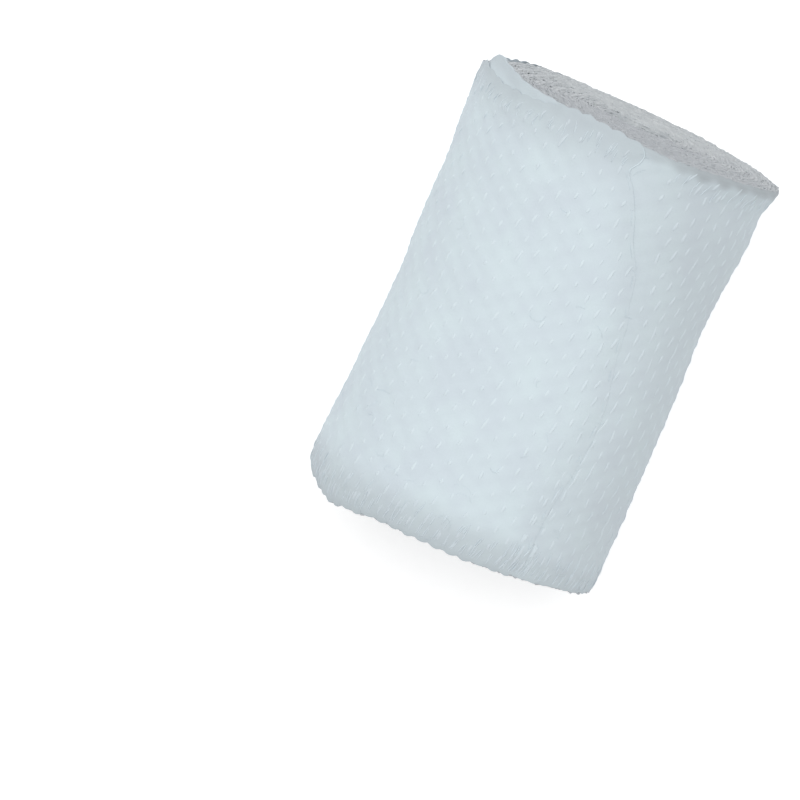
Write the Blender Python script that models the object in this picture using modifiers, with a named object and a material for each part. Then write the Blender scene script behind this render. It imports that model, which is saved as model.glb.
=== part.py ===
"""Gauze bandage roll, lying on its side.

A strip of gauze 50 mm wide is wound into a roll about 35 mm across, a little narrower at the
middle and flared at its +X end.  The last stretch of the outer turn is a sheet of its own, whose
slanted free edge lies along the top of the roll.

Frame: metres, +Z up, the roll's axis along X, and the origin under the middle of the roll on the
surface that it rests on.  Angles round the roll are in degrees from the top, positive towards +Y.
"""

import math

import bmesh
import bpy
import numpy as np

# Driving dimensions, in metres and degrees
STRIP_WIDTH = 0.050           # the length of the roll
AXIS_HEIGHT = 0.0170          # above the surface, so the underside is pressed flat
AXIS_X = -0.00082             # the middle of the strip's width, so that the box is centred
AXIS_Y = -0.000125
TURN_PITCH = 0.00042          # how much one turn of gauze adds to the radius

SHEET_THICKNESS = 0.0010      # the loose end
SEAT_DEPTH = 0.00135          # from the outer surface down to the turn under the loose end
EDGE_GAP = 1.15               # degrees between the loose end's edges and its seat's walls
WALL_SLOPE = 0.25             # degrees that a wall of the seat takes
LOOSE_SPAN = 122.0            # degrees of the outer turn that are the loose end
SHEET_ROUNDING = 0.0005       # how far its edge draws in at the far rim
SHEET_MARGIN = 0.0007         # the loose end stops this short of the rounded far end

NEAR_ROUNDING = 0.0008        # rim at +X
FAR_ROUNDING = 0.0018         # rim at -X
CORE_RADIUS = 0.0023          # hollow at the heart of the winding
CORE_DEPTH = 0.0016
LIP_WIDTH = 0.0013            # radial width of the turn that stands proud at +X
RIM_START = 0.6               # share of the half width where the rise at +X begins

WINDING_STEP = 0.0034         # spiral relief on the end faces: one ridge for about eight turns
WINDING_RELIEF = 0.0003
WINDING_RADIUS = 0.0126       # the relief fills the face out to here

FLOOR_DEPTH = 0.010           # thickness of the block that cuts the flat spot

COLUMNS_LOOSE = 26            # columns round the roll under the loose end
COLUMNS_REST = 43             # columns round the rest of it
STATIONS = 20                 # sections along the straight of the side
ROUND_STEPS = 3               # sections in each rounded rim
WINDING_RINGS = 13            # rings of the spiral relief

# Radius of the outer turn on either side of the roll, at distances from the strip's middle
SIDE_ROWS = (
    # (x, radius towards +Y, radius towards -Y)
    (-0.0250, 0.0173, 0.0174),
    (-0.0160, 0.0175, 0.0176),
    (-0.0080, 0.0175, 0.0176),
    (0.0000, 0.0171, 0.0174),
    (0.0090, 0.0174, 0.0172),
    (0.0135, 0.0176, 0.0175),
    (0.0180, 0.0179, 0.0178),
    (0.0225, 0.0182, 0.0180),
    (0.0250, 0.0182, 0.0184),
)

# Where the free edge of the outer turn lies
EDGE_ROWS = (
    # (x, angle)
    (-0.0250, -31.0),
    (-0.0180, -31.0),
    (-0.0105, -35.0),
    (-0.0050, -38.5),
    (0.0000, -35.0),
    (0.0050, -30.0),
    (0.0110, -25.0),
    (0.0190, -16.0),
    (0.0235, -10.0),
    (0.0250, -5.0),
)

# How far the edges of the turns stand past the strip's width at +X
RIM_ROWS = (
    # (angle, rise of the roll's own rim, rise of the loose end's edge)
    (-60.0, 0.0000, 0.0000),
    (-20.0, 0.0001, -0.0005),
    (-6.0, 0.0004, -0.0002),
    (12.0, 0.0007, 0.0007),
    (24.0, 0.0008, 0.0002),
    (38.0, 0.0012, -0.0005),
    (54.0, 0.0016, 0.0000),
    (75.0, 0.0015, 0.0004),
    (92.0, 0.0010, 0.0007),
    (130.0, 0.0009, 0.0008),
    (180.0, 0.0003, 0.0003),
    (230.0, 0.0000, 0.0000),
    (300.0, 0.0000, 0.0000),
)

# Colour as linear red, green and blue, and the roughness of cotton gauze
ROLL_COLOUR = (0.68, 0.74, 0.78, 1.0)
LOOSE_COLOUR = (0.72, 0.77, 0.80, 1.0)
GAUZE_ROUGHNESS = 0.9


def between(value, rows, column):
    """Reads a column of a table at a value, easing smoothly from each row to the next."""
    keys = np.array([row[0] for row in rows])
    values = np.array([row[column] for row in rows])
    index = int(np.clip(np.searchsorted(keys, value) - 1, 0, len(keys) - 2))
    share = np.clip((value - keys[index]) / (keys[index + 1] - keys[index]), 0.0, 1.0)
    slopes = np.gradient(values, keys)
    step = keys[index + 1] - keys[index]
    rise = values[index + 1] - values[index]
    start = slopes[index] * step
    end = slopes[index + 1] * step
    cubic = start + end - 2.0 * rise
    square = 3.0 * rise - 2.0 * start - end
    return values[index] + share * (start + share * (square + share * cubic))


def turn_radius(x, angle, past_edge):
    """Outer radius at a section and angle, past_edge degrees along the turn from its free end."""
    towards_y = 0.5 + 0.5 * math.sin(math.radians(angle))
    sides = between(x, SIDE_ROWS, 1) * towards_y + between(x, SIDE_ROWS, 2) * (1.0 - towards_y)
    return sides + TURN_PITCH * (0.5 - past_edge / 360.0)


def rim_rise(angle, column):
    """Rise of an edge at +X past the strip's width, for an angle anywhere round the roll."""
    return between((angle + 60.0) % 360.0 - 60.0, RIM_ROWS, column)


def on_turn(x, past_edge, column):
    """Station and angle of a point past the free edge, with an edge's rise at +X worked in."""
    share = np.clip((2.0 * x / STRIP_WIDTH - RIM_START) / (1.0 - RIM_START), 0.0, 1.0) ** 2
    station = x + share * rim_rise(between(x, EDGE_ROWS, 1) + past_edge, column)
    return station, between(station, EDGE_ROWS, 1) + past_edge


def rounding(x):
    """How far the surface draws in at a section near either rim."""
    inset = 0.0
    for reach, size in ((STRIP_WIDTH / 2 + x, FAR_ROUNDING), (STRIP_WIDTH / 2 - x, NEAR_ROUNDING)):
        if reach < size:
            inset = size - math.sqrt(max(size * size - (size - reach) ** 2, 0.0))
    return inset


def place(x, radius, angle):
    """Point of the roll in the part's own frame."""
    turn = math.radians(angle)
    return (
        AXIS_X + x,
        AXIS_Y + radius * math.sin(turn),
        AXIS_HEIGHT + radius * math.cos(turn),
    )


def seat_columns():
    """Columns round the roll: degrees past the free edge, and 1 on the seat or 0 on the turn."""
    low = -EDGE_GAP
    high = LOOSE_SPAN + EDGE_GAP
    seat = [(low + (high - low) * i / COLUMNS_LOOSE, 1.0) for i in range(COLUMNS_LOOSE + 1)]
    start = high + WALL_SLOPE
    stop = 360.0 + low - WALL_SLOPE
    rest = [(start + (stop - start) * i / COLUMNS_REST, 0.0) for i in range(COLUMNS_REST + 1)]
    return seat + rest


def side_sections():
    """Sections along the side, closer together in the two rounded rims."""
    half = STRIP_WIDTH / 2
    arc = [90.0 * i / (ROUND_STEPS + 1) for i in range(1, ROUND_STEPS + 1)]
    far = [-half + FAR_ROUNDING * (1.0 - math.cos(math.radians(a))) for a in arc]
    near = [half - NEAR_ROUNDING * (1.0 - math.cos(math.radians(a))) for a in reversed(arc)]
    start = -half + FAR_ROUNDING
    stop = half - NEAR_ROUNDING
    straight = [start + (stop - start) * i / (STATIONS - 1) for i in range(STATIONS)]
    return far + straight + near


def side_ring(x, columns):
    """One ring of the roll's side, with the seat sunk under the loose end."""
    ring = []
    for past, sunk in columns:
        station, angle = on_turn(x, past, 1)
        radius = turn_radius(station, angle, past) - rounding(x) - sunk * SEAT_DEPTH
        ring.append(place(station, radius, angle))
    return ring


def face_ring(end, inward, columns):
    """One ring of an end face, a distance in from the rim; end is -1 or 1."""
    flat = end * STRIP_WIDTH / 2
    size = NEAR_ROUNDING if end > 0 else FAR_ROUNDING
    fade = np.clip(2.0 - inward / LIP_WIDTH, 0.0, 1.0)
    ring = []
    for past, sunk in columns:
        station, angle = on_turn(flat, past, 1)
        rim = turn_radius(station, angle, past) - size - sunk * SEAT_DEPTH
        ring.append(place(flat + fade * (station - flat), rim - inward, angle))
    return ring


def round_ring(end, radius, depth, relief, columns):
    """One round ring of an end face, sunk by a depth and by the groove of the spiral relief."""
    free = between(end * STRIP_WIDTH / 2, EDGE_ROWS, 1)
    ring = []
    for past, sunk in columns:
        groove = 0.5 - 0.5 * math.cos(2.0 * math.pi * (radius / WINDING_STEP - past / 360.0))
        x = end * (STRIP_WIDTH / 2 - depth - relief * groove)
        ring.append(place(x, radius, free + past))
    return ring


def end_face(end, columns):
    """Rings of an end face from its rim to its heart: the lip, the winding and the hollow core."""
    rim = [face_ring(end, inward, columns) for inward in (0.0, LIP_WIDTH, 2.0 * LIP_WIDTH)]
    spacing = (WINDING_RADIUS - CORE_RADIUS) / WINDING_RINGS
    radii = [WINDING_RADIUS - spacing * i for i in range(WINDING_RINGS)]
    winding = [round_ring(end, radius, 0.0, WINDING_RELIEF, columns) for radius in radii]
    core = [
        round_ring(end, CORE_RADIUS * share, CORE_DEPTH * depth, 0.0, columns)
        for share, depth in ((1.0, 0.0), (0.8, 0.6), (0.4, 1.0))
    ]
    return rim + winding + core


def loft(name, rings, start_point, end_point):
    """Closed skin through rings of like count, with a point at either end."""
    mesh = bpy.data.meshes.new(name)
    bm = bmesh.new()
    loops = [[bm.verts.new(point) for point in ring] for ring in rings]
    first = bm.verts.new(start_point)
    last = bm.verts.new(end_point)
    count = len(loops[0])
    for lower, upper in zip(loops, loops[1:]):
        for i in range(count):
            j = (i + 1) % count
            bm.faces.new((lower[i], lower[j], upper[j], upper[i]))
    for i in range(count):
        j = (i + 1) % count
        bm.faces.new((first, loops[0][j], loops[0][i]))
        bm.faces.new((last, loops[-1][i], loops[-1][j]))
    bmesh.ops.recalc_face_normals(bm, faces=bm.faces)
    bm.to_mesh(mesh)
    bm.free()
    return bpy.data.objects.new(name, mesh)


def gauze(name, colour):
    """Bleached gauze: matt, no metal."""
    material = bpy.data.materials.new(name)
    material.use_nodes = True
    shader = material.node_tree.nodes["Principled BSDF"]
    shader.inputs["Base Color"].default_value = colour
    shader.inputs["Roughness"].default_value = GAUZE_ROUGHNESS
    shader.inputs["Metallic"].default_value = 0.0
    return material


def make_roll():
    """The wound strip as one solid."""
    columns = seat_columns()
    side = [side_ring(x, columns) for x in side_sections()]
    rings = end_face(-1, columns)[::-1] + side + end_face(1, columns)
    heart = STRIP_WIDTH / 2 - CORE_DEPTH
    roll = loft("roll", rings, place(-heart, 0.0, 0.0), place(heart, 0.0, 0.0))
    roll.data.materials.append(gauze("roll_gauze", ROLL_COLOUR))
    return roll


def make_floor_cutter():
    """Block whose top is the surface that the roll rests on."""
    mesh = bpy.data.meshes.new("floor_cutter")
    bm = bmesh.new()
    bmesh.ops.create_cube(bm, size=1.0)
    bmesh.ops.scale(bm, vec=(2.0 * STRIP_WIDTH, STRIP_WIDTH, FLOOR_DEPTH), verts=bm.verts)
    bmesh.ops.translate(bm, vec=(0.0, 0.0, -FLOOR_DEPTH / 2), verts=bm.verts)
    bm.to_mesh(mesh)
    bm.free()
    cutter = bpy.data.objects.new("floor_cutter", mesh)
    cutter.hide_render = True
    cutter.display_type = "WIRE"
    return cutter


def make_loose_end():
    """The last stretch of the outer turn, an open sheet given its thickness inward."""
    half = STRIP_WIDTH / 2
    sections = [x for x in side_sections() if x > -half + SHEET_MARGIN] + [half]
    mesh = bpy.data.meshes.new("loose_end")
    bm = bmesh.new()
    rows = []
    for x in sections:
        row = []
        for i in range(COLUMNS_LOOSE + 1):
            past = LOOSE_SPAN * i / COLUMNS_LOOSE
            station, angle = on_turn(x, past, 2)
            drawn_in = min(rounding(x), SHEET_ROUNDING) if x < 0.0 else 0.0
            radius = turn_radius(station, angle, past) - drawn_in
            row.append(bm.verts.new(place(station, radius, angle)))
        rows.append(row)
    for lower, upper in zip(rows, rows[1:]):
        for i in range(COLUMNS_LOOSE):
            bm.faces.new((lower[i], lower[i + 1], upper[i + 1], upper[i]))
    bmesh.ops.recalc_face_normals(bm, faces=bm.faces)
    bm.to_mesh(mesh)
    bm.free()
    sheet = bpy.data.objects.new("loose_end", mesh)
    sheet.data.materials.append(gauze("loose_end_gauze", LOOSE_COLOUR))
    return sheet


def main():
    """Clears the scene and builds the object in its own collection."""
    for old in list(bpy.data.objects):
        bpy.data.objects.remove(old, do_unlink=True)
    scene = bpy.context.scene
    parts = bpy.data.collections.new("gauze_bandage_roll")
    cutters = bpy.data.collections.new("cutters")
    scene.collection.children.link(parts)
    scene.collection.children.link(cutters)

    roll = make_roll()
    cutter = make_floor_cutter()
    sheet = make_loose_end()
    parts.objects.link(roll)
    parts.objects.link(sheet)
    cutters.objects.link(cutter)

    press = roll.modifiers.new("flat_spot", "BOOLEAN")
    press.operation = "DIFFERENCE"
    press.object = cutter
    wall = sheet.modifiers.new("thickness", "SOLIDIFY")
    wall.thickness = SHEET_THICKNESS
    wall.offset = -1.0
    for piece in (roll, sheet):
        piece.data.shade_smooth()


main()
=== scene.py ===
import math

import bpy
import numpy as np
from mathutils import Matrix, Vector


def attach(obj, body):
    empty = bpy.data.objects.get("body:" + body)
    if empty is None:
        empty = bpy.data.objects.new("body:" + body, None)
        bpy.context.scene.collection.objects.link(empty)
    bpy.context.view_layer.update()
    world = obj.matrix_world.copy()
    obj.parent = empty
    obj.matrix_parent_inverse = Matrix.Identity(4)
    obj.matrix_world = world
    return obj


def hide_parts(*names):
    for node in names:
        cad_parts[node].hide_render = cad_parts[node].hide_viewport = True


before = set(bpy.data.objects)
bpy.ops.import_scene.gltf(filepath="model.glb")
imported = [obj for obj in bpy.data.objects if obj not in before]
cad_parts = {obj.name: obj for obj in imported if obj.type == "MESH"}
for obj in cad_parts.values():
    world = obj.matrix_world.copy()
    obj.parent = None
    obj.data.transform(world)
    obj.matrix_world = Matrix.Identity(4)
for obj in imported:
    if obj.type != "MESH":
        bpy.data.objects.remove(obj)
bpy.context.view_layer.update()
chance = np.random.default_rng(41)

# Lengths are in metres. Angles go round the roll in degrees, from the top towards +Y.
# "along" counts turns from the free end inwards, and "across" runs over the strip's width.
strip = {
    "width": 0.050,
    "turns": 38.0,
    "meanRadius": 0.0175,  # of the outer turn
    "middle": (-0.00082, -0.000125, 0.0170),  # of the outer turn
    "coreRadius": 0.0017,
    "coreOffset": (-0.0012, -0.0025),  # the winding's heart sits off centre, in y and z
    "dents": 0.0001,  # how far the side is uneven
    "floorRoom": 0.0003,  # the pressed underside leaves this much for its threads
    "floorBlend": 0.0003,  # how softly the side runs into it
    "looseShare": 0.34,  # the part of the first turn whose edge lies loose
    "looseFade": 0.1,  # and the part over which that ends
}

# the strip's edges on the end faces
rims = {
    "rounding": ((0.0028, 0.0012), (0.0010, 0.0006)),  # reach and depth, at -X and at +X
    "towardsY": (0.68, 0.38),  # share kept at -X, and how much more or less towards the sides
    "standing": 0.85,  # share lost at +X where the edge stands out
    "standingRise": 0.001,  # from this height on
    "turns": 3.0,  # over which the rounding fades
    "riseStart": 0.6,  # share of the half width from which the edges stand out
    "coreRise": 0.0003,  # of the end face at +X, in its middle
    "secondFade": (1.4, 2.5),  # the turn from which the second turn's rise fades, and how fast
    "hollow": 0.0016,  # the innermost turns sit this much lower on the end faces
    "hollowTurns": (30.0, 36.5),
}

# painted shade on the outer turn, 0 to 1: a darker band past the free end where the sheet runs round the
# roll, and painted shade by its edges and on the turn below; distances from the edge
shadePaintBands = {
    "slack": 0.04,  # past the free end the band fades out within this share of a turn
    "bandReturn": (0.6, 0.86),  # and comes back from here on
    "bandShade": 0.33,
    "endShare": 0.55,  # of it, at the free end and beside it on the turn below
    "beside": (0.92, 1.0),  # from here on the turn below comes near the free end
    "loose": 0.5,
    "looseReach": (0.0085, 0.0034),  # at the free end, and where the loose edge stops
    "looseFall": 1.3,
    "wound": 0.95,
    "woundReach": (0.0002, 0.0019),
    "far": 0.46,
    "farReach": (0.0015, 0.0055),
    "uneven": 0.0004,  # how far these bands' borders wander
    "nextTurn": 0.57,  # the part left of it on the turn below, whose edge stands up
    "nextStart": (0.95, 1.1),
    "endFaceShade": 0.35,  # of the painted shade on the end faces, half way up
}

# radius of the outer turn towards +Y and -Y, by place along the roll
sideRows = np.array([
    (-0.0250, 0.0177, 0.0179),
    (-0.0160, 0.0175, 0.0178),
    (-0.0080, 0.0172, 0.0177),
    (0.0000, 0.0170, 0.0175),
    (0.0045, 0.0172, 0.0172),
    (0.0090, 0.0173, 0.0172),
    (0.0135, 0.0173, 0.0175),
    (0.0180, 0.0176, 0.0178),
    (0.0225, 0.0179, 0.0178),
    (0.0250, 0.0183, 0.0187),
])

# angle of the cut end, whose corner is rounded, by place along the roll
edgeRows = np.array([
    (-0.0250, -31.0),
    (-0.0180, -31.0),
    (-0.0105, -35.0),
    (-0.0048, -36.5),
    (-0.0010, -34.0),
    (0.0030, -31.5),
    (0.0055, -30.5),
    (0.0080, -27.5),
    (0.0114, -24.5),
    (0.0143, -18.5),
    (0.0175, -14.0),
    (0.0200, -9.5),
    (0.0217, -6.0),
    (0.0230, -8.3),
    (0.0240, -8.3),
    (0.0250, -5.0),
])

# how far the edges stand out, by angle: the whole end face at +X, then what the second turn
# and the loose edge add there, and the whole end face at -X
rimRows = np.array([
    (-90.0, 0.0001, 0.0000, 0.0000, 0.0001),
    (-70.0, 0.0000, 0.0000, 0.0000, -0.0001),
    (-53.0, -0.0001, 0.0000, 0.0000, -0.0003),
    (-38.0, -0.0002, 0.0000, 0.0000, -0.0002),
    (-20.0, -0.0004, 0.0000, -0.0001, -0.0001),
    (-8.0, -0.0004, 0.0000, -0.0001, 0.0000),
    (2.0, -0.0003, 0.0001, 0.0002, 0.0000),
    (12.0, -0.0003, 0.0002, 0.0004, 0.0000),
    (24.0, -0.0002, 0.0002, 0.0003, 0.0001),
    (30.0, -0.0002, 0.0004, -0.0001, 0.0002),
    (38.0, -0.0002, 0.0005, -0.0005, 0.0007),
    (46.0, -0.0001, 0.0007, -0.0007, 0.0009),
    (52.0, 0.0000, 0.0010, -0.0009, 0.0012),
    (58.0, 0.0000, 0.0014, -0.0008, 0.0011),
    (64.0, 0.0001, 0.0017, -0.0006, 0.0008),
    (68.0, 0.0001, 0.0015, -0.0003, 0.0006),
    (73.0, 0.0000, 0.0008, 0.0002, 0.0003),
    (82.0, -0.0003, 0.0001, 0.0003, 0.0001),
    (100.0, -0.0003, 0.0000, 0.0001, 0.0000),
    (110.0, 0.0001, 0.0000, 0.0001, 0.0000),
    (130.0, 0.0009, 0.0000, 0.0000, 0.0000),
    (160.0, 0.0011, 0.0000, 0.0000, 0.0000),
    (190.0, 0.0011, 0.0000, 0.0000, 0.0000),
    (215.0, 0.0008, 0.0000, 0.0000, 0.0000),
    (245.0, 0.0004, 0.0000, 0.0000, 0.0000),
    (270.0, 0.0001, 0.0000, 0.0000, 0.0001),
])

# the knit: columns of upright stitches, each half a stitch from the next
knit = {
    "columns": 62,  # round the outer turn, 1.77 mm apart
    "stitch": 0.00226,  # from one upright to the next in a column
    "relief": 0.00006,
    "uneven": 0.00005,  # a slow rise and fall besides
    "lean": (-3.0, 7.5),  # degrees from the axis, at the free end and a turn later
    "rimRoom": 0.0006,  # no upright stands nearer to an edge
}

# where a layer ends on the one below, the free end and the loose edge, it thins and settles
settling = {
    "reach": 0.06,  # of the free end, as a share of a turn
    "edgeReach": 0.003,  # of the loose edge
    "edgeShare": 0.9,  # how fully the loose edge settles
    "clearance": 0.00001,
    "thickness": 0.00002,
}


# value read from a table's column by a cubic through its rows, held flat past either end
def smoothRows(value, rows, column):
    keys, heights = rows[:, 0], rows[:, column]
    slopes = np.gradient(heights, keys)
    index = np.clip(np.searchsorted(keys, value) - 1, 0, len(keys) - 2)
    step = keys[index + 1] - keys[index]
    share = np.clip((value - keys[index]) / step, 0.0, 1.0)
    rise = heights[index + 1] - heights[index]
    start, end = slopes[index] * step, slopes[index + 1] * step
    return heights[index] + share * (
        start + share * (3 * rise - 2 * start - end + share * (start + end - 2 * rise))
    )


# eases from 0 to 1 between two values: 3 t^2 - 2 t^3
def ease(value, low, high):
    share = np.clip((value - low) / (high - low), 0.0, 1.0)
    return share * share * (3.0 - 2.0 * share)


# sum of cosines over the angle and the strip's width, whole waves round the roll, divided so
# that it seldom passes 1
def unevenness(angle, across, seed, waves, reach):
    bendRadius = 0.018  # makes waves along the roll as long as those round it
    pick = np.random.default_rng(seed)
    total = np.zeros(np.broadcast(angle, across).shape)
    for _ in range(waves):
        around = pick.integers(1, reach + 1)
        along = pick.uniform(-1.0, 1.0) * reach / bendRadius
        total = total + np.cos(np.radians(angle) * around + across * along + pick.uniform(0.0, 6.28))
    return total / waves ** 0.5 / 1.5


# angle round the roll of a place on the strip: the cut end's angle there and the turns since
def angleAt(along, across):
    return smoothRows(across, edgeRows, 1) + 360.0 * along


# the same angle, brought within the rims' table
def tableAngle(angle):
    return np.mod(angle + 90.0, 360.0) - 90.0


# outer radius: the two side tables weighed by the sine of the angle, then held above the floor
# by a soft minimum (a + b - sqrt((a - b)^2 + w^2)) / 2
def outerRadius(across, angle):
    towardsY = 0.5 + 0.5 * np.sin(np.radians(angle))
    radius = smoothRows(across, sideRows, 1) * towardsY + smoothRows(across, sideRows, 2) * (1 - towardsY)
    radius = radius + strip["dents"] * unevenness(angle, across, seed=5, waves=9, reach=6)
    down = np.maximum(-np.cos(np.radians(angle)), 0.2)  # elsewhere the floor is out of reach
    floor = (strip["middle"][2] - strip["floorRoom"]) / down
    return (radius + floor - np.sqrt((radius - floor) ** 2 + strip["floorBlend"] ** 2)) / 2


# share of the first turn whose edge at +X lies loose, fading out past it
def looseness(along):
    return 1.0 - ease(along, strip["looseShare"], strip["looseShare"] + strip["looseFade"])


# how far the second turn stands past the others at +X, fading out over the next turns
def secondRise(along, angle):
    start, rate = rims["secondFade"]
    return smoothRows(tableAngle(angle), rimRows, 2) * np.exp(-rate * np.maximum(along - start, 0.0))


# how far the rims draw in: a quarter ellipse d (1 - sqrt(1 - t^2)) near each edge, all but flat
# where the edge at +X lies loose or stands out, and at -X deepest towards +Y
def rimDrawIn(along, across, angle):
    total = np.zeros_like(across)
    standsOut = np.clip(secondRise(along, angle) / rims["standingRise"], 0.0, 1.0)
    standing = np.maximum(looseness(along), standsOut)
    middle, side = rims["towardsY"]
    keep = (middle + side * np.sin(np.radians(angle)), 1.0 - rims["standing"] * standing)
    inward = (strip["width"] / 2 + across, strip["width"] / 2 - across)
    for (reach, depth), share, place in zip(rims["rounding"], keep, inward):
        bend = np.clip(1.0 - place / reach, 0.0, 0.995)  # stops short of upright
        total = total + depth * share * (1.0 - np.sqrt(1.0 - bend ** 2))
    return total


# how far both edges stand out: the end faces' own slant fades towards the core, and at +X the
# loose edge and the second turn add their columns
def edgeRise(along, angle):
    wound = 1.0 - along / strip["turns"]
    table = tableAngle(angle)
    loose = looseness(along)
    extra = loose * smoothRows(table, rimRows, 3) + (1.0 - loose) * secondRise(along, angle)
    front = smoothRows(table, rimRows, 1) * wound + rims["coreRise"] * (1.0 - wound) + extra
    return front, smoothRows(table, rimRows, 4) * wound


# point of the winding: the radius shrinks evenly from the outer turn to the core while the
# centre moves to the core's, and the edges stand out by their table
def turnPoint(along, across, lift):
    along, across, lift = np.broadcast_arrays(along, across, lift)
    half = strip["width"] / 2
    front, back = edgeRise(along, angleAt(along, across))
    nearEdge = (np.abs(across) / half - rims["riseStart"]) / (1.0 - rims["riseStart"])
    share = np.clip(nearEdge, 0.0, 1.0) ** 2
    sunk = rims["hollow"] * ease(along, *rims["hollowTurns"])
    x = across + share * np.where(across > 0.0, front - sunk, sunk - back)
    angle = angleAt(along, x)
    side = outerRadius(x, angle)
    wound = 1.0 - along / strip["turns"]
    pitch = (side - strip["coreRadius"]) / strip["turns"]
    radius = strip["coreRadius"] + pitch / 2 + (side - strip["coreRadius"]) * wound + lift
    radius = radius - rimDrawIn(along, across, angle) * np.clip(1.0 - along / rims["turns"], 0.0, 1.0)
    turn = np.radians(angle)
    middleX, middleY, middleZ = strip["middle"]
    offsetY, offsetZ = strip["coreOffset"]
    y = middleY + offsetY * (1.0 - wound) + radius * np.sin(turn)
    z = middleZ + offsetZ * (1.0 - wound) + radius * np.cos(turn)
    return np.stack([middleX + x, y, np.maximum(z, 0.0)], axis=-1)


# lean of the knit's columns from the roll's axis, by the share of a turn since the free end
def columnLean(share):
    first, last = knit["lean"]
    return np.radians(first + (last - first) * share)


# how far a layer stands off its own radius: the knit's pillows, highest at each upright,
# cos(2 pi x / stitch) cos(pi column), and a slow unevenness
def knitLift(along, across):
    angle = angleAt(along, across)
    lean = columnLean(np.clip(along, 0.0, 1.0))
    column = (angle + np.degrees(np.tan(lean) * across / strip["meanRadius"])) * knit["columns"] / 360.0
    pillow = knit["relief"] * np.cos(2 * math.pi * across / knit["stitch"]) * np.cos(math.pi * column)
    return pillow + knit["uneven"] * unevenness(angle, across, seed=9, waves=14, reach=18)


# share, 0 to 1, by which a layer has settled on the one below, at the free end and the loose edge
def settledShare(along, across):
    freeEnd = 1.0 - ease(along, 0.0, settling["reach"])
    edge = ease(across, strip["width"] / 2 - settling["edgeReach"], strip["width"] / 2)
    return np.maximum(freeEnd, settling["edgeShare"] * edge * looseness(along))


# the outer turn's own lift, blending into the next layer's where it has settled
def sheetLift(along, across):
    settled = settledShare(along, across)
    pitch = (strip["meanRadius"] - strip["coreRadius"]) / strip["turns"]
    below = knitLift(along + 1.0, across) - pitch + settling["clearance"]
    return knitLift(along, across) * (1.0 - settled) + below * settled


# painted shade on the outer turn: the darker band past the free end, less beside it, (1 - d / reach)^1.3 by
# the loose edge, eased in near the other edges, and little on the turn below
def openness(along, across):
    half = strip["width"] / 2
    loose = looseness(along)
    nearEnd = 1.0 - (1.0 - shadePaintBands["endShare"]) * ease(along, *shadePaintBands["beside"])
    bandShade = shadePaintBands["endShare"] * (1.0 - ease(along, 0.0, shadePaintBands["slack"]))
    bandShade = shadePaintBands["bandShade"] * (bandShade + ease(along, *shadePaintBands["bandReturn"]) * nearEnd)
    reach, lastReach = shadePaintBands["looseReach"]
    reach = reach + (lastReach - reach) * ease(along, 0.0, strip["looseShare"])
    wander = shadePaintBands["uneven"] * unevenness(360.0 * along, 0.0, seed=33, waves=9, reach=40)
    fromRim = half - across + wander
    front = shadePaintBands["loose"] * loose * (1.0 - np.clip(fromRim / reach, 0.0, 1.0)) ** shadePaintBands["looseFall"]
    wound = shadePaintBands["wound"] * (1.0 - loose) * np.sqrt(nearEnd)
    front = front + wound * (1.0 - ease(fromRim, *shadePaintBands["woundReach"]))
    back = shadePaintBands["far"] * (1.0 - ease(half + across, *shadePaintBands["farReach"]))
    below = ease(along, *shadePaintBands["nextStart"])
    return np.maximum(bandShade, np.maximum(front, back)) * (1.0 - below + shadePaintBands["nextTurn"] * below)


# painted shade on the end faces: p (1 + cos angle), most at the top and least underneath
def endShadePainted(along, across):
    return shadePaintBands["endFaceShade"] * (1.0 + np.cos(np.radians(angleAt(along, across))))


# mesh from a point array and lists of faces, smooth, as a linked object; an attribute of its points, the
# painted shade, tells its material how far they turn to its painted shade colour
def meshPiece(name, points, faces, material, paintedShade=None):
    mesh = bpy.data.meshes.new(name)
    mesh.from_pydata(points.reshape(-1, 3).tolist(), [], [face for part in faces for face in part.tolist()])
    if paintedShade is not None:
        mesh.attributes.new("paintedShade", "FLOAT", "POINT").data.foreach_set("value", paintedShade.ravel())
    mesh.shade_smooth()
    mesh.materials.append(material)
    piece = bpy.data.objects.new(name, mesh)
    bpy.context.scene.collection.objects.link(piece)
    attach(piece, "root")
    mesh.calc_loop_triangles()
    print(name, len(mesh.loop_triangles), "triangles")
    return piece


# closed sheet between an outer and an inner grid of points, joined round their four edges
def sheetPiece(name, outer, inner, material, paintedShade):
    rows, columns = outer.shape[:2]
    index = np.arange(rows * columns).reshape(rows, columns)
    below = index + rows * columns

    def cells(grid):
        corners = [grid[:-1, :-1], grid[1:, :-1], grid[1:, 1:], grid[:-1, 1:]]
        return np.stack(corners, axis=-1).reshape(-1, 4)

    ring = np.concatenate([index[0, :-1], index[:-1, -1], index[-1, :0:-1], index[:0:-1, 0]])
    after = np.roll(ring, -1)
    rim = np.stack([ring, after, after + rows * columns, ring + rows * columns], axis=-1)
    faces = [cells(index), cells(below)[:, ::-1], rim]
    points = np.concatenate([outer.reshape(-1, 3), inner.reshape(-1, 3)])
    paintedShade = np.tile(np.broadcast_to(paintedShade, (rows, columns)).ravel(), 2)
    return meshPiece(name, points, faces, material, paintedShade)
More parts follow.
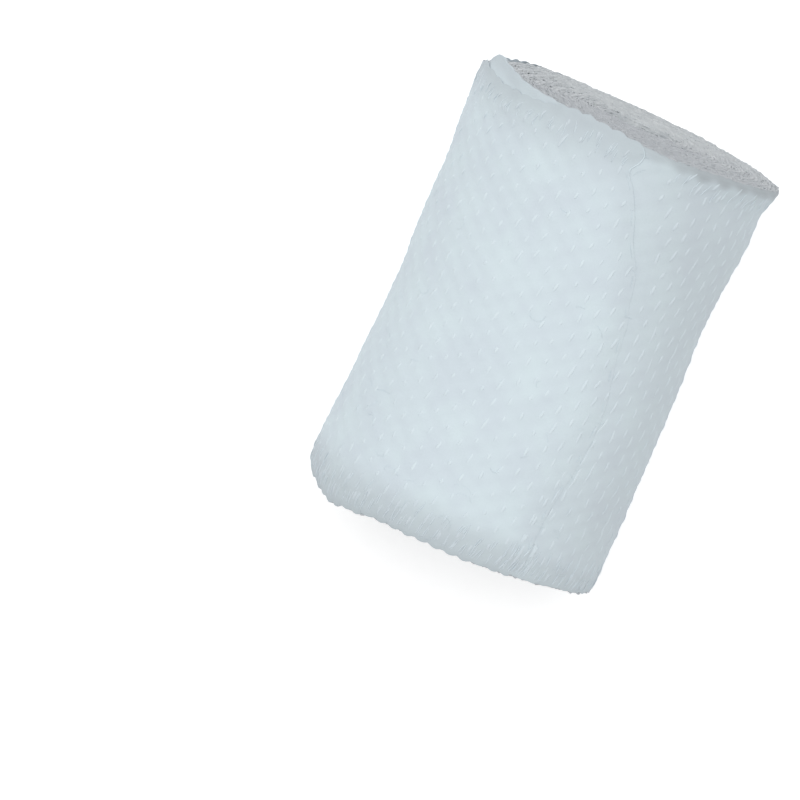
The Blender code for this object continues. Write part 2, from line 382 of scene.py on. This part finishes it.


# tubes along many paths at once: rings of points square to each path's tangent, flattened
# against the roll and capped, with one painted shade value a thread
def threadPiece(name, paths, radius, material, paintedShade=None, flat=1.0, sides=4):
    lowest = 0.00008  # threads stay above the floor
    endFacing = 0.5  # how far the flattened side turns with the end faces
    count, steps = paths.shape[:2]
    if paintedShade is not None:
        paintedShade = np.repeat(paintedShade, steps * sides)
    paths[..., 2] = np.maximum(paths[..., 2], lowest)
    tangent = np.gradient(paths, axis=1)
    tangent /= np.linalg.norm(tangent, axis=-1, keepdims=True)
    outward = paths - np.array(strip["middle"])
    outward[..., 0] *= endFacing
    first = np.cross(tangent, outward)
    first /= np.linalg.norm(first, axis=-1, keepdims=True)
    second = np.cross(tangent, first)
    turn = 2 * math.pi * (np.arange(sides) + 0.5) / sides
    spread = np.cos(turn)[:, None] * first[:, :, None] + flat * np.sin(turn)[:, None] * second[:, :, None]
    points = paths[:, :, None] + np.broadcast_to(radius, (count, steps))[..., None, None] * spread
    index = np.arange(count * steps * sides).reshape(count, steps, sides)
    nextSide = np.roll(index, -1, axis=2)
    corners = [index[:, :-1], nextSide[:, :-1], nextSide[:, 1:], index[:, 1:]]
    walls = np.stack(corners, axis=-1).reshape(-1, 4)
    meshPiece(name, points, [walls, index[:, 0, ::-1], index[:, -1]], material, paintedShade)


# sRGB hex to linear colour
def colour(hexCode):
    values = np.array([int(hexCode[i:i + 2], 16) for i in (1, 3, 5)]) / 255
    linear = np.where(values > 0.04045, ((values + 0.055) / 1.055) ** 2.4, values / 12.92)
    return (*linear.tolist(), 1.0)


# adds a node with its settings, then links: input name to (node, output name)
def addNode(tree, kind, settings=None, inputs=None, links=None):
    node = tree.nodes.new(kind)
    for name, value in (settings or {}).items():
        setattr(node, name, value)
    for name, value in (inputs or {}).items():
        node.inputs[name].default_value = value
    for name, (source, output) in (links or {}).items():
        tree.links.new(source.outputs[output], node.inputs[name])
    return node


def startMaterial(name):
    material = bpy.data.materials.new(name)
    material.use_nodes = True
    material.node_tree.nodes.clear()
    return material, material.node_tree


# bleached cotton: matt white fibres with a blue tinge and a faint halo of nap, slightly mottled,
# and darkened by painted shade as far as an attribute of the mesh's points gives
def cottonMaterial(look):
    material, tree = startMaterial(look["name"])
    place = addNode(tree, "ShaderNodeTexCoord")
    millimetres = addNode(
        tree, "ShaderNodeVectorMath", {"operation": "SCALE"}, {"Scale": 1000.0}, {0: (place, "Object")}
    )
    mottle = addNode(
        tree, "ShaderNodeTexNoise", {}, {"Scale": 1.0 / look["mottle"], "Detail": 3.0, "Roughness": 0.6},
        {"Vector": (millimetres, "Vector")},
    )
    tint = addNode(
        tree, "ShaderNodeMapRange", {}, {"From Min": 0.35, "From Max": 0.65},
        {"Value": (mottle, "Fac")},
    )
    # the mottled colour, before painted shade
    slack = addNode(
        tree, "ShaderNodeMix", {"data_type": "RGBA"}, {6: colour(look["dark"]), 7: colour(look["light"])},
        {0: (tint, "Result")},
    )
    # painted shade: the attribute turns the colour towards the darker painted shade colour
    paintedShade = addNode(tree, "ShaderNodeAttribute", {"attribute_name": "paintedShade"})
    paint = addNode(
        tree, "ShaderNodeMix", {"data_type": "RGBA"}, {7: colour(look["shadowPaintColour"])},
        {0: (paintedShade, "Fac"), 6: (slack, 2)},
    )
    grain = addNode(
        tree, "ShaderNodeTexNoise", {}, {"Scale": 1.0 / look["grain"], "Detail": 4.0, "Roughness": 0.7},
        {"Vector": (millimetres, "Vector")},
    )
    rough = addNode(
        tree, "ShaderNodeBump", {}, {"Strength": look["bump"], "Distance": 0.0001},
        {"Height": (grain, "Fac")},
    )
    shader = addNode(
        tree, "ShaderNodeBsdfPrincipled", {},
        {
            "Roughness": 0.9,
            "IOR": 1.5,
            "Specular IOR Level": 0.2,
            "Sheen Weight": 0.06,
            "Sheen Roughness": 0.5,
            "Sheen Tint": colour(look["sheen"]),
        },
        {"Base Color": (paint, 2), "Normal": (rough, "Normal")},
    )
    addNode(tree, "ShaderNodeOutputMaterial", links={"Surface": (shader, "BSDF")})
    return material


# the knitted ground; the grain is about a fibre bundle, drawn coarser than the 0.02 mm fibres
groundLook = {
    "name": "bleached cotton gauze",
    "light": "#d3e0e5",
    "dark": "#cfdae1",
    "shadowPaintColour": "#a9b0b4",
    "sheen": "#efe6f2",
    "mottle": 4.5,  # mm
    "grain": 0.22,  # mm
    "bump": 0.4,
}

# the raised stitches: whiter than the ground, a painted glint
yarnLook = {
    "name": "bleached cotton yarn",
    "light": "#d8e4e9",
    "dark": "#d3dfe5",
    "shadowPaintColour": "#b8bec5",
    "sheen": "#efe6f2",
    "mottle": 2.0,  # mm
    "grain": 0.1,  # mm
    "bump": 0.2,
}

# the edges packed on the end faces look neutral, as less of the blued surface shows, and greyer than the
# ground by painted shade; the painted shade colour goes to the top of the end faces
selvedgeLook = {
    "name": "bleached cotton selvedge",
    "light": "#ced2d4",
    "dark": "#bdc2c5",
    "shadowPaintColour": "#b1b5ba",
    "sheen": "#efe6f2",
    "mottle": 1.2,  # mm
    "grain": 0.12,  # mm
    "bump": 0.3,
}


def makeCamera():
    view = {
        "sensor": 36.0,  # mm
        "distance": 0.6,
        "tilt": 7.5,  # degrees towards +X, so that the flared end shows
        "roll": 24.0,  # the axis leans this far right of upright
        "fieldWidth": 0.0904,  # what the frame spans at the roll's axis
        "rollAt": (0.1733, 0.091),  # the roll's middle, in frame widths right of and above the frame's
    }
    tilt, turn = math.radians(view["tilt"]), math.radians(view["roll"])
    back = np.array([math.sin(tilt), 0.0, math.cos(tilt)])
    axis = np.array([math.cos(tilt), 0.0, -math.sin(tilt)])
    beside = np.cross(axis, back)
    right = math.cos(turn) * beside + math.sin(turn) * axis
    up = math.cos(turn) * axis - math.sin(turn) * beside
    shiftX, shiftY = view["rollAt"]
    target = np.array(strip["middle"]) - view["fieldWidth"] * (shiftX * right + shiftY * up)
    lens = bpy.data.cameras.new("photoCamera")
    lens.sensor_width = view["sensor"]
    lens.lens = view["sensor"] * view["distance"] / view["fieldWidth"]
    camera = bpy.data.objects.new("photoCamera", lens)
    camera.location = target + view["distance"] * back
    camera.rotation_mode = "QUATERNION"
    camera.rotation_quaternion = Matrix(np.stack([right, up, back], axis=1).tolist()).to_quaternion()
    bpy.context.scene.collection.objects.link(camera)
    bpy.context.scene.camera = camera


# a pale card floor with a faint glow, an even white sky and one wide soft lamp
def makeStudio():
    studio = {
        "floorSize": 6.0,
        "floor": "#f4f4f4",
        "glow": 0.36,
        "sky": "#ffffff",
        "skyStrength": 0.5,
        "lampPlace": (0.3, 0.08, 1.2),
        "lampSize": 1.0,
        "lampPower": 9.5,
    }
    scene = bpy.context.scene
    scene.view_settings.view_transform = "Standard"
    world = bpy.data.worlds.new("studio")
    world.use_nodes = True
    world.node_tree.nodes["Background"].inputs["Color"].default_value = colour(studio["sky"])
    world.node_tree.nodes["Background"].inputs["Strength"].default_value = studio["skyStrength"]
    scene.world = world

    lamp = bpy.data.lights.new("softKey", "AREA")
    lamp.shape = "DISK"
    lamp.size = studio["lampSize"]
    lamp.energy = studio["lampPower"]
    light = bpy.data.objects.new("softKey", lamp)
    light.location = studio["lampPlace"]
    light.rotation_mode = "QUATERNION"
    light.rotation_quaternion = (-Vector(studio["lampPlace"])).to_track_quat("-Z", "Y")
    scene.collection.objects.link(light)

    material, tree = startMaterial("matt white card")
    card = addNode(
        tree, "ShaderNodeBsdfPrincipled", {},
        {
            "Base Color": colour(studio["floor"]),
            "Roughness": 1.0,
            "Specular IOR Level": 0.0,
            "Emission Color": colour(studio["floor"]),
            "Emission Strength": studio["glow"],
        },
    )
    addNode(tree, "ShaderNodeOutputMaterial", links={"Surface": (card, "BSDF")})
    half = studio["floorSize"] / 2
    corners = [(-half, -half, 0), (half, -half, 0), (half, half, 0), (-half, half, 0)]
    mesh = bpy.data.meshes.new("floor")
    mesh.from_pydata(corners, [], [(0, 1, 2, 3)])
    mesh.materials.append(material)
    floor = bpy.data.objects.new("floor", mesh)
    scene.collection.objects.link(floor)
    print("camera and studio ready")


# rows of points along the strip, as turns from the free end, their arc lengths, and the whole
# length: the turns left go with the square root of the length left, and rows crowd at the core
def windingRows(start, end, spacing):
    crowding = 0.8  # at 1 the rows would lie evenly
    turns = strip["turns"]
    total = math.pi * (strip["meanRadius"] + strip["coreRadius"]) * turns
    first, last = (1 - start / turns) ** 2, (1 - end / turns) ** 2
    rows = int(total * (first - last) / spacing)
    run = np.linspace(first ** crowding, last ** crowding, rows) ** (1 / crowding)
    return turns * (1 - np.sqrt(run)), total * (1 - run), total * (first - last)


# the turns under the outer one: one long ribbon, its edges waved by the stitches
def makeWinding(material):
    winding = {
        "start": 1.22,
        "end": 37.6,
        "spacing": 0.0006,
        "thickness": 0.0004,
        "edgeStart": 0.9,  # share of the half width from which the edges wave
        "wave": 0.0001,  # outwards, one for each column of the knit
        "wobble": 0.00004,  # up and down
        "stray": 0.0001,  # sideways, from turn to turn
        "strayWave": 17.3,  # radians a turn
        "strayChance": 0.3,
        "across": (-1.0, -0.994, -0.96, -0.55, 0.0, 0.5, 0.74, 0.88, 0.96, 0.994, 1.0),
    }
    half = strip["width"] / 2
    along, arc, length = windingRows(winding["start"], winding["end"], winding["spacing"])
    along, arc = along[:, None], arc[:, None]
    across = np.array(winding["across"])[None, :] * half
    column = 2 * math.pi * strip["meanRadius"] / knit["columns"]
    edge = ease(np.abs(across), winding["edgeStart"] * half, half)
    wave = winding["wave"] * np.abs(np.sin(math.pi * arc / column))
    slip = chance.normal(0, winding["strayChance"], along.shape)
    stray = winding["stray"] * (np.sin(along * winding["strayWave"]) + slip)
    moved = np.sign(across) * edge * (wave + stray)
    wobble = winding["wobble"] * np.sin(arc * 2 * math.pi / column) * edge
    outer = turnPoint(along, across, wobble)
    inner = turnPoint(along, across, wobble - winding["thickness"])
    outer[..., 0] += moved
    inner[..., 0] += moved
    # the wound turns carry the end faces' painted shade
    piece = sheetPiece("wound_gauze", outer, inner, material, endShadePainted(along, across))
    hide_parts("roll")
    print("wound turns of a strip", round(length, 3), "m long")


# the outer turn with its free end: a fine grid carrying the knit's relief, its edges scalloped
# by |sin| of the knit's columns
def makeOuterTurn(material):
    outerTurn = {
        "end": 1.24,
        "rows": 340,
        "columns": 140,
        "thickness": 0.0003,
        "scallop": 0.00028,
        "scallopReach": 0.0006,
        "scallopWound": 0.4,  # share of it where the edge doesn't lie loose
        "scallopUneven": 0.5,
        "hem": 0.00004,  # a last narrow row of the grid keeps the edges crisp
    }
    half = strip["width"] / 2
    hem = outerTurn["hem"]
    turnHem = hem / (2 * math.pi * strip["meanRadius"])
    along = np.linspace(turnHem, outerTurn["end"], outerTurn["rows"])
    along = np.concatenate([[0.0], along])[:, None]
    across = np.linspace(hem - half, half - hem, outerTurn["columns"])
    across = np.concatenate([[-half], across, [half]])[None, :]
    angle = angleAt(along, across)
    lift = sheetLift(along, across)
    thickness = outerTurn["thickness"]
    thickness = thickness + (settling["thickness"] - thickness) * settledShare(along, across)
    outer = turnPoint(along, across, lift)
    inner = turnPoint(along, across, lift - thickness)
    edge = ease(np.abs(across), half - outerTurn["scallopReach"], half)
    scallop = np.abs(np.sin(math.pi * angle * knit["columns"] / 360)) * outerTurn["scallop"]
    wound = outerTurn["scallopWound"]
    scallop = scallop * (wound + (1.0 - wound) * looseness(along))
    uneven = unevenness(angle, 0.0, seed=21, waves=8, reach=30)
    scallop = scallop * (1.0 + outerTurn["scallopUneven"] * uneven)
    moved = edge * np.sign(across) * scallop
    outer[..., 0] += moved
    inner[..., 0] += moved
    # the outer turn carries painted shade by its edges, and the darker band past the free end
    piece = sheetPiece("outer_gauze", outer, inner, material, openness(along, across))
    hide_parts("loose_end")


# places of the knit's uprights: angle and station of each, column by column
def uprightPlaces():
    columns = knit["columns"]
    half = strip["width"] / 2
    perColumn = int(strip["width"] / knit["stitch"])
    column, row = np.meshgrid(np.arange(columns), np.arange(-1, perColumn + 1), indexing="ij")
    across = (row - perColumn / 2 + 0.5 * (column % 2)) * knit["stitch"]
    angle = column * 360.0 / columns
    keep = np.abs(across) < half - knit["rimRoom"]
    return angle[keep].astype(float), across[keep]


# paths of threads laid on the outer turn: centred on places, running a length across the strip
# with a slant in degrees, arched by sin(pi t) over a base depth; and the painted shade there
def threadPaths(angle, across, length, slant, steps, arch, base):
    half = strip["width"] / 2
    t = np.linspace(0.0, 1.0, steps)[None, :]
    station = np.clip(across[:, None] + (t - 0.5) * length[:, None], -half, half)
    free = smoothRows(across, edgeRows, 1)
    lean = columnLean(np.mod(angle - free, 360.0) / 360.0)[:, None]
    aslant = np.tan(np.radians(slant))[:, None] * (station - across[:, None])
    drift = aslant - np.tan(lean) * across[:, None]
    turned = angle[:, None] + np.degrees(drift / strip["meanRadius"]) - smoothRows(station, edgeRows, 1)
    turned = (turned - 360.0 * np.floor(turned.mean(axis=1, keepdims=True) / 360.0)) / 360.0
    lift = base + sheetLift(turned, station) + arch * np.sin(math.pi * t)
    return turnPoint(turned, station, lift), openness(turned.mean(axis=1), across)


# radii along a thread that is full in its middle and half as thick at its ends
def taper(radius, steps):
    return radius * (0.5 + 0.5 * np.sin(math.pi * np.linspace(0.0, 1.0, steps)))[None, :]


# the uprights: flat stitches leaning right, a little brighter than the soft ground by a painted glint,
# and shorter and lower on the side where the loose sheet lies slack
def makeUprights(material):
    upright = {
        "length": 0.0019,
        "lengths": (0.6, 1.2),
        "longShare": 0.15,  # so many are longer still
        "long": 1.6,
        "slant": -10.0,
        "slantSpread": 4.0,
        "angleSpread": 0.3,
        "acrossSpread": 0.00015,
        "radius": 0.0002,
        "arch": (0.00002, 0.00005),
        "base": -0.00004,  # their ends are sunk in the ground
        "steps": 7,
        "slack": (-30.0, 110.0),  # angles between which they sink
        "slackEase": 25.0,
        "sink": 0.00001,
        "shorten": 0.4,
    }
    angle, across = uprightPlaces()
    low, high = upright["slack"]
    turned = np.mod(angle + 180.0, 360.0) - 180.0
    slack = ease(turned, low, low + upright["slackEase"])
    slack = slack * (1 - ease(turned, high - upright["slackEase"], high))
    count = len(angle)
    length = upright["length"] * chance.uniform(*upright["lengths"], count)
    length = length * (1.0 - upright["shorten"] * slack)
    length = length * np.where(chance.uniform(0, 1, count) < upright["longShare"], upright["long"], 1.0)
    slant = upright["slant"] + chance.normal(0, upright["slantSpread"], count)
    angle = angle + chance.normal(0, upright["angleSpread"], count)
    across = across + chance.normal(0, upright["acrossSpread"], count)
    arch = (chance.uniform(*upright["arch"], count) - upright["sink"] * slack)[:, None]
    paths, paintedShade = threadPaths(angle, across, length, slant, upright["steps"], arch, upright["base"])
    radius = taper(upright["radius"], upright["steps"])
    threadPiece("upright_yarns", paths, radius, material, paintedShade, flat=0.2, sides=8)


# strokes along both rims, two filaments each, where the yarns turn back into the knit
def makeRimYarns(material):
    rimYarn = {
        "rows": (
            {"end": 1, "angles": (0, 360, 4.9), "inset": 0.0020, "length": 0.0017, "slant": -6},
            {"end": -1, "angles": (0, 360, 3.3), "inset": 0.0010, "length": 0.0020, "slant": -14},
            {"end": -1, "angles": (0, 360, 5.1), "inset": 0.0026, "length": 0.0018, "slant": -12},
        ),
        "apart": 0.16,  # degrees from a stroke's middle to each filament
        "angleSpread": 0.6,
        "lengths": (0.6, 1.3),
        "insets": (0.8, 1.3),
        "slantSpread": 5.0,
        "arch": (0.00002, 0.00008),
        "base": -0.00003,
        "steps": 6,
        "radius": 0.0001,
        "open": 0.7,  # they take less of the painted shade than the uprights
    }
    sets, paintedShade = [], []
    for row in rimYarn["rows"]:
        angle = np.arange(*row["angles"]).astype(float)
        count = len(angle)
        for filament in (-1, 1):
            laid = angle + chance.normal(0, rimYarn["angleSpread"], count) + filament * rimYarn["apart"]
            length = row["length"] * chance.uniform(*rimYarn["lengths"], count)
            inset = row["inset"] * chance.uniform(*rimYarn["insets"], count)
            across = row["end"] * (strip["width"] / 2 - inset)
            slant = row["slant"] + chance.normal(0.0, rimYarn["slantSpread"], count)
            arch = chance.uniform(*rimYarn["arch"], count)[:, None]
            paths, opened = threadPaths(
                laid, across, length, slant, rimYarn["steps"], arch, rimYarn["base"]
            )
            sets.append(paths)
            paintedShade.append(rimYarn["open"] * opened)
    radius = taper(rimYarn["radius"], rimYarn["steps"])
    paths, paintedShade = np.concatenate(sets), np.concatenate(paintedShade)
    threadPiece("rim_yarns", paths, radius, material, paintedShade, flat=0.4, sides=4)


# the selvedge's curls at one end, on the given ranges of turns: arches of yarn standing on each
# turn's edge, x = h sin(pi t), leaning in or out
def makeCurls(name, end, ranges, spacing, material):
    curl = {
        "width": 0.0008,
        "widths": (0.5, 1.4),
        "narrowestTurn": 0.05,  # of the outer turn's length, so that curls at the core stay short
        "height": 0.00019,
        "least": 0.00002,
        "lean": 0.00013,
        "twist": 0.00012,
        "depth": 0.0002,  # they stand in the middle of the sheet's thickness
        "root": 0.00004,  # and their feet are sunk in its edge
        "radius": 0.00011,
        "radii": (0.7, 1.3),
        "steps": 5,
    }
    half = strip["width"] / 2
    along = np.concatenate([windingRows(first, last, spacing)[0] for first, last in ranges])
    count = len(along)
    t = np.linspace(0.0, 1.0, curl["steps"])[None, :]
    left = np.maximum(1 - along / strip["turns"], curl["narrowestTurn"])
    circumference = 2 * math.pi * strip["meanRadius"] * left
    width = curl["width"] * chance.uniform(*curl["widths"], count)
    shift = (t - 0.5) * (width / circumference)[:, None]
    lean = chance.normal(0, curl["lean"], count)[:, None] * np.sin(math.pi * t)
    twist = chance.normal(0, curl["twist"], count)[:, None] * (t - 0.5) * 2
    height = curl["height"] * chance.uniform(0.0, 1.0, count) + curl["least"]
    place = along[:, None] + shift
    paths = turnPoint(place, np.full(place.shape, end * half), lean + twist - curl["depth"])
    paths[..., 0] += end * (height[:, None] * np.sin(math.pi * t) - curl["root"])
    radius = curl["radius"] * chance.uniform(*curl["radii"], count)[:, None]
    # the curls carry the end faces' painted shade
    threadPiece(name, paths, radius, material, endShadePainted(along, end * half), flat=1.0, sides=4)


# threads along the cut end, each following it at an inset, from one station to another
def cutEndPaths(start, end, inset, steps, lift):
    t = np.linspace(0.0, 1.0, steps)[None, :]
    station = start[:, None] + (end - start)[:, None] * t
    along = np.broadcast_to(inset / (2 * math.pi * strip["meanRadius"]), station.shape)
    return turnPoint(along, station, sheetLift(along, station) + lift)


# the cut end: stitches drawn out along it, its corner rolled to a thread, and hairs over it,
# each bent sideways by b t^2
def makeCutEnd(material):
    stitch = {
        "count": 14,
        "margin": 0.001,
        "placeSpread": 0.0002,
        "length": 0.0014,
        "reaches": (0.3, 0.6),  # shares of the length to either side
        "radius": 0.00004,
        "inset": 0.0004,
        "lift": 0.00003,
        "steps": 8,
    }
    corner = {
        "from": 0.0216,
        "to": 0.0249,
        "radius": 0.00007,
        "inset": 0.0001,
        "lift": 0.00002,
        "steps": 40,
    }
    hair = {
        "count": 9,
        "margins": (0.0008, 0.001),  # at -X and at +X
        "placeSpread": 0.0004,
        "root": 0.0006,  # inwards of the cut
        "length": 0.0012,
        "lengths": (0.3, 1.0),
        "bendSpread": 0.0006,
        "radius": 0.00002,
        "lift": 0.00002,
        "steps": 8,
    }
    half = strip["width"] / 2
    count = stitch["count"]
    middle = np.linspace(-half + stitch["margin"], corner["from"] - stitch["margin"], count)
    middle = middle + chance.normal(0, stitch["placeSpread"], count)
    reach = stitch["length"] * chance.uniform(*stitch["reaches"], count)
    paths = cutEndPaths(middle - reach, middle + reach, stitch["inset"], stitch["steps"], stitch["lift"])
    radius = taper(stitch["radius"], stitch["steps"])
    threadPiece("cut_end_stitches", paths, radius, material, flat=0.6, sides=4)

    start, end = np.array([corner["from"]]), np.array([corner["to"]])
    paths = cutEndPaths(start, end, corner["inset"], corner["steps"], corner["lift"])
    radius = taper(corner["radius"], corner["steps"])
    threadPiece("rolled_corner", paths, radius, material, flat=0.6, sides=8)

    count = hair["count"]
    t = np.linspace(0.0, 1.0, hair["steps"])[None, :]
    first, last = hair["margins"]
    across = np.linspace(-half + first, half - last, count) + chance.normal(0, hair["placeSpread"], count)
    reach = hair["length"] * chance.uniform(*hair["lengths"], count)[:, None]
    bend = chance.normal(0, hair["bendSpread"], count)[:, None]
    along = (hair["root"] - reach * t) / (2 * math.pi * strip["meanRadius"])
    station = np.clip(across[:, None] + bend * t * t, -half, half)
    paths = turnPoint(along, station, sheetLift(np.maximum(along, 0.0), station) + hair["lift"])
    threadPiece("cut_end_hairs", paths, hair["radius"], material, flat=1.0, sides=3)


# nap: fine single fibres standing off the outer turn, most near the rim at -X, each a bent arc
def makeNap(material):
    nap = {
        "fibres": 180,
        "margin": 0.0004,
        "crowding": 3.5,  # at 1 they would stand evenly from rim to rim
        "along": (0.003, 0.997),
        "length": 0.0014,
        "lengths": (0.4, 1.5),
        "bendSpread": 1.2,  # radians
        "sideways": 0.8,
        "height": 0.00025,
        "heights": (0.1, 1.0),
        "fall": 0.75,  # of half a wave: they rise and come down again
        "radius": 0.000012,
        "steps": 6,
    }
    half = strip["width"] / 2
    margin = nap["margin"]
    count = nap["fibres"]
    t = np.linspace(0.0, 1.0, nap["steps"])[None, :]
    fromRim = (strip["width"] - 2 * margin) * chance.uniform(0.0, 1.0, count) ** nap["crowding"]
    across = margin - half + fromRim
    along = chance.uniform(*nap["along"], count)
    heading = chance.uniform(0.0, 2 * math.pi, count)[:, None]
    length = nap["length"] * chance.uniform(*nap["lengths"], count)[:, None]
    bend = chance.normal(0, nap["bendSpread"], count)[:, None]
    direction = heading + bend * t
    station = across[:, None] + length * t * np.sin(direction) * nap["sideways"]
    station = np.clip(station, -half, half)
    place = along[:, None] + length * t * np.cos(direction) / (2 * math.pi * strip["meanRadius"])
    rise = nap["height"] * chance.uniform(*nap["heights"], count)[:, None] ** 2
    lift = sheetLift(place, station) + rise * np.sin(nap["fall"] * math.pi * t)
    paths = turnPoint(place, station, lift)
    threadPiece("nap_fibres", paths, nap["radius"], material, flat=1.0, sides=3)


makeCamera()
makeStudio()
ground = cottonMaterial(groundLook)
yarn = cottonMaterial(yarnLook)
selvedge = cottonMaterial(selvedgeLook)
makeWinding(selvedge)
makeOuterTurn(ground)
makeUprights(yarn)
makeRimYarns(yarn)
makeCurls("near_selvedge_curls", 1, ((0.4, 0.985), (1.5, 37.3)), 0.0007, selvedge)
makeCurls("far_selvedge_curls", -1, ((0.5, 37.3),), 0.0009, selvedge)
makeCutEnd(yarn)
makeNap(yarn)
